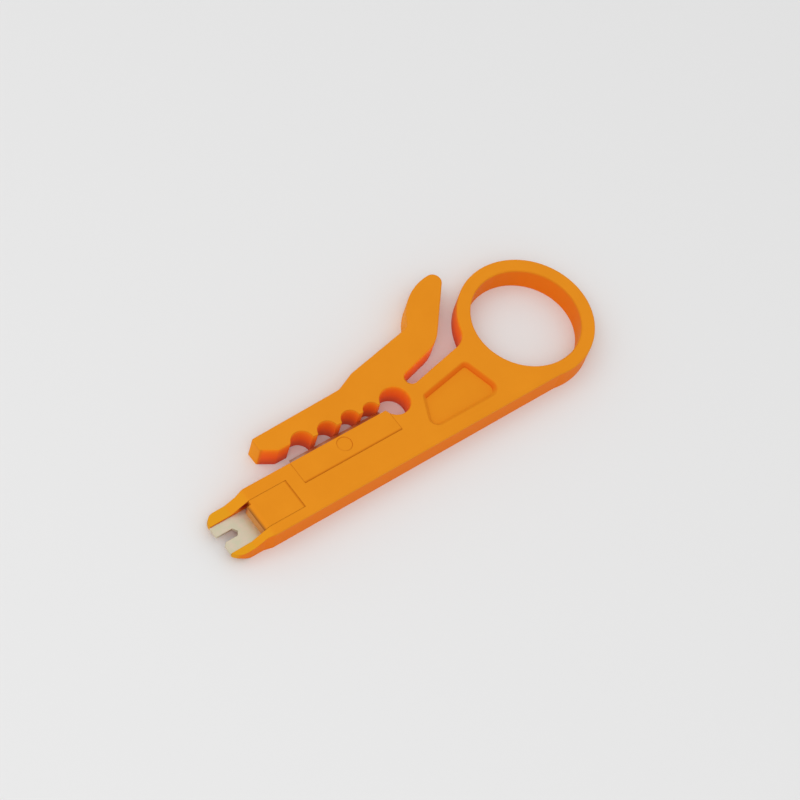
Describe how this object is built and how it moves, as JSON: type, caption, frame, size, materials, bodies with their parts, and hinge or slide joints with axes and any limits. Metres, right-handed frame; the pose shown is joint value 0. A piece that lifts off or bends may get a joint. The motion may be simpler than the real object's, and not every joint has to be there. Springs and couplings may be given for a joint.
{
  "type": "cable stripper",
  "caption": "Flat pocket cable stripper: finger ring, sprung notched jaw over a blade, forked punch-down tip.",
  "frame": {"origin": "centre of the finger ring bore on the flat back face", "axes": "+X from the punch-down tip to the ring, +Y from the handle to the lever, +Z out of the front face"},
  "size_m": [0.0916, 0.0313, 0.0052],
  "materials": {
    "moulding": "satin moulded plastic",
    "cover": "satin moulded plastic",
    "blade_steel": "ground steel"
  },
  "bodies": {
    "handle": {"handle": "moulding", "stripping_blade": "blade_steel", "stripping_blade_cover": "cover", "punch_down_blade": "blade_steel", "punch_blade_cover": "cover"},
    "arm": {"spring_arm": "moulding"}
  },
  "joints": [
    {"name": "web_bend", "type": "hinge", "parent": "handle", "child": "arm", "pos_m": [-0.03013, -0.00037, 0.0026], "axis": [0, 0, -1], "range_deg": [-1, 8], "stiffness_Nm_per_rad": 0.9}
  ]
}
